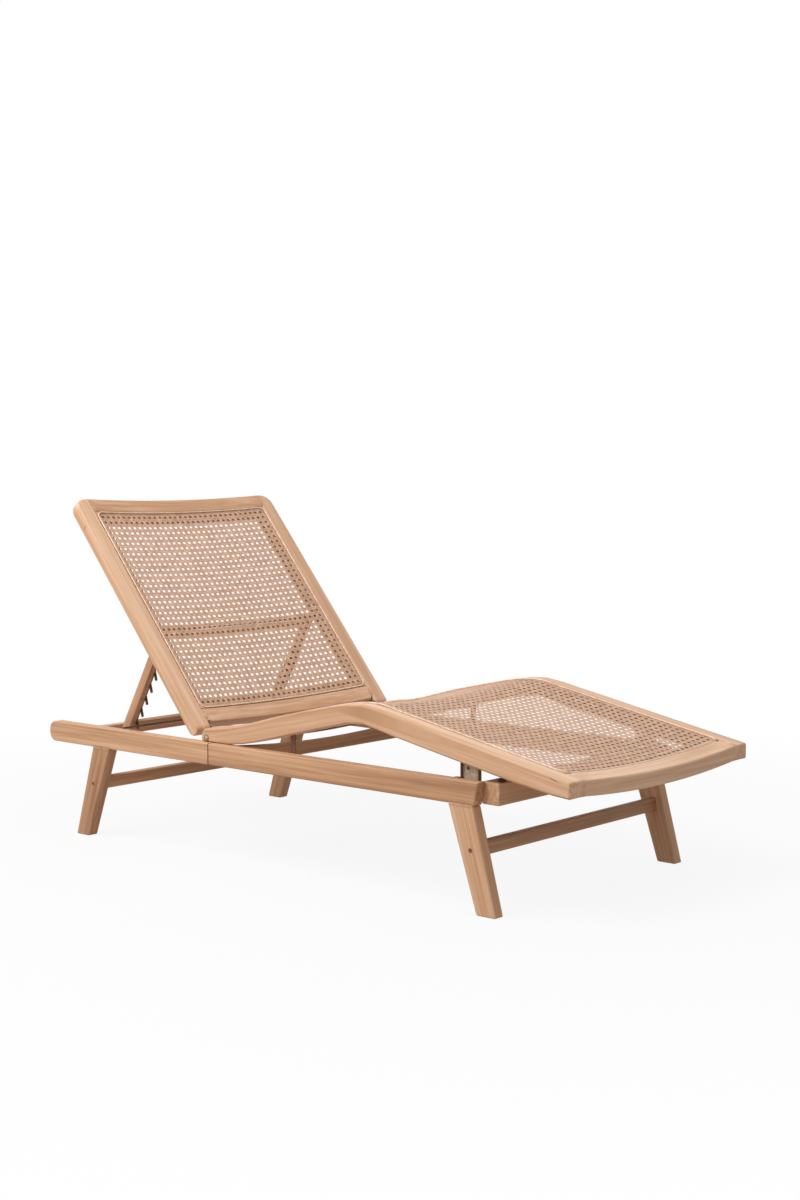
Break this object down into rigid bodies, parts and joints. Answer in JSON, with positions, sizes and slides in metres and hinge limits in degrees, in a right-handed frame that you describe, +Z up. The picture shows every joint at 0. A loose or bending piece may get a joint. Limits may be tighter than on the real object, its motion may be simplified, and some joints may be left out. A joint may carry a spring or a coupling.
{
  "type": "wooden sun lounger",
  "caption": "Low wooden lounger with a knee-shaped cane seat, a hinged cane backrest and a folding prop frame with hooked steel racks.",
  "frame": {"origin": "on the floor under the middle of the lounger's bounding box", "axes": "+Z up, +Y towards the head end along the length, +X towards the sitter's left"},
  "size_m": [0.767, 1.74, 0.9066],
  "materials": {
    "wood": "clear oiled pale wood",
    "cane": "natural woven cane",
    "stainless": "brushed",
    "dark_steel": "dark brown satin",
    "rubber": "matt"
  },
  "bodies": {
    "base": {"side_rail_front_right": "wood", "side_rail_front_left": "wood", "side_rail_rear_right": "wood", "side_rail_rear_left": "wood", "rail_tenon_right": "wood", "rail_tenon_left": "wood", "leg_front_right": "wood", "leg_front_left": "wood", "leg_rear_right": "wood", "leg_rear_left": "wood", "stretcher_front": "wood", "stretcher_rear": "wood", "plug_front_right": "wood", "plug_front_left": "wood", "plug_rear_right": "wood", "plug_rear_left": "wood", "cross_rail_front": "wood", "cross_rail_mid": "wood", "cross_rail_rear": "wood", "seat_stile_right": "wood", "seat_stile_left": "wood", "seat_front_rail": "wood", "seat_rear_rail": "wood", "seat_net": "cane", "seat_bead": "cane", "hinge_strap_right": "stainless", "hinge_strap_left": "stainless", "hinge_bolt_right": "stainless", "hinge_bolt_left": "stainless", "seat_bracket_right": "stainless", "seat_bracket_left": "stainless", "seat_strap_right": "stainless", "seat_strap_left": "stainless", "catch_rod": "dark_steel", "bumper_right": "rubber", "bumper_left": "rubber"},
    "backrest": {"back_stile_right": "wood", "back_stile_left": "wood", "back_top_rail": "wood", "back_bottom_rail": "wood", "back_net": "cane", "back_bead": "cane", "hinge_pin_right": "stainless", "hinge_pin_left": "stainless", "prop_dowel": "wood"},
    "prop": {"prop_leg_right": "wood", "prop_leg_left": "wood", "prop_head_rail": "wood", "prop_crossbar": "wood", "prop_rack_right": "dark_steel", "prop_rack_left": "dark_steel"}
  },
  "joints": [
    {"name": "backrest_hinge", "type": "hinge", "parent": "base", "child": "backrest", "pos_m": [0, 0.312, 0.326], "axis": [1, 0, 0], "range_deg": [-50.5, 0]},
    {"name": "prop_pivot", "type": "hinge", "parent": "backrest", "child": "prop", "pos_m": [0, 0.5211, 0.56315], "axis": [1, 0, 0], "range_deg": [0, 113.3]}
  ],
  "couplings": [
    {"joint": "prop_pivot", "follows": "backrest_hinge", "ratio": -2.2424}
  ]
}
